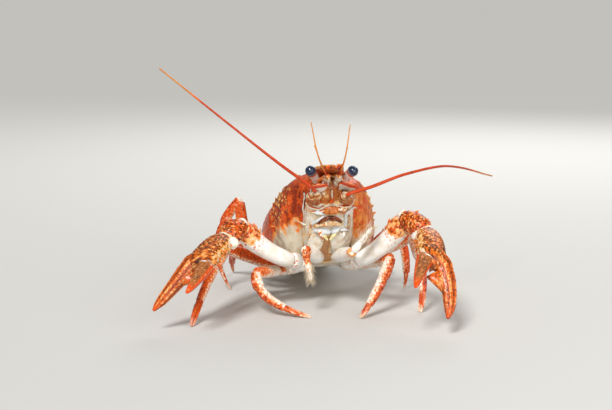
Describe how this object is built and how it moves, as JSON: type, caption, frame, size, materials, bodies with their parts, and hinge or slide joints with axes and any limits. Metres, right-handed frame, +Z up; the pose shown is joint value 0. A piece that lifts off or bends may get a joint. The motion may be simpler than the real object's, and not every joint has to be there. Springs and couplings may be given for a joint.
{
  "type": "narrow-clawed crayfish",
  "caption": "Life-size narrow-clawed crayfish standing on its legs, body raised in front, slender claws spread and hanging, feelers up, tail laid back on the floor.",
  "frame": {"origin": "on the floor, under the middle of the whole animal's bounding box", "axes": "-Y the way the animal faces, about 7.5 degrees off its own midline, +X its left side, +Z up"},
  "size_m": [0.0987, 0.134, 0.0664],
  "materials": {
    "shell": "satin orange-red shell, mottled darker",
    "pale_shell": "satin cream-white shell",
    "leg": "satin pale orange shell",
    "feeler": "matt bright orange-red",
    "jaw": "glossy dark brown",
    "eye": "glossy near-black"
  },
  "bodies": {
    "root": {"abdomen_1": "shell", "abdomen_2": "shell", "abdomen_3": "shell", "abdomen_4": "shell", "abdomen_5": "shell", "abdomen_6": "shell", "antenna_base_left": "shell", "antenna_base_right": "shell", "antenna_left": "feeler", "antenna_right": "feeler", "antennal_scale_left": "shell", "antennal_scale_right": "shell", "antennule_left": "feeler", "antennule_right": "feeler", "carapace": "shell", "cheliped_base_left": "pale_shell", "cheliped_base_right": "pale_shell", "cheliped_carpus_left": "shell", "cheliped_carpus_right": "shell", "cheliped_finger_left": "shell", "cheliped_finger_right": "shell", "cheliped_hand_left": "shell", "cheliped_hand_right": "shell", "cheliped_merus_left": "pale_shell", "cheliped_merus_right": "pale_shell", "eye_left": "eye", "eye_right": "eye", "eyestalk_left": "shell", "eyestalk_right": "shell", "head": "pale_shell", "leg2_left_shin": "leg", "leg2_left_thigh": "leg", "leg2_right_shin": "leg", "leg2_right_thigh": "leg", "leg3_left_shin": "leg", "leg3_left_thigh": "leg", "leg3_right_shin": "leg", "leg3_right_thigh": "leg", "leg4_left_shin": "leg", "leg4_left_thigh": "leg", "leg4_right_shin": "leg", "leg4_right_thigh": "leg", "leg5_left_shin": "leg", "leg5_left_thigh": "leg", "leg5_right_shin": "leg", "leg5_right_thigh": "leg", "mandibles": "jaw", "maxilliped_left": "pale_shell", "maxilliped_palp_left": "pale_shell", "maxilliped_palp_right": "pale_shell", "maxilliped_right": "pale_shell", "sternum": "pale_shell", "telson": "shell", "uropod_left": "shell", "uropod_right": "shell"}
  },
  "joints": []
}
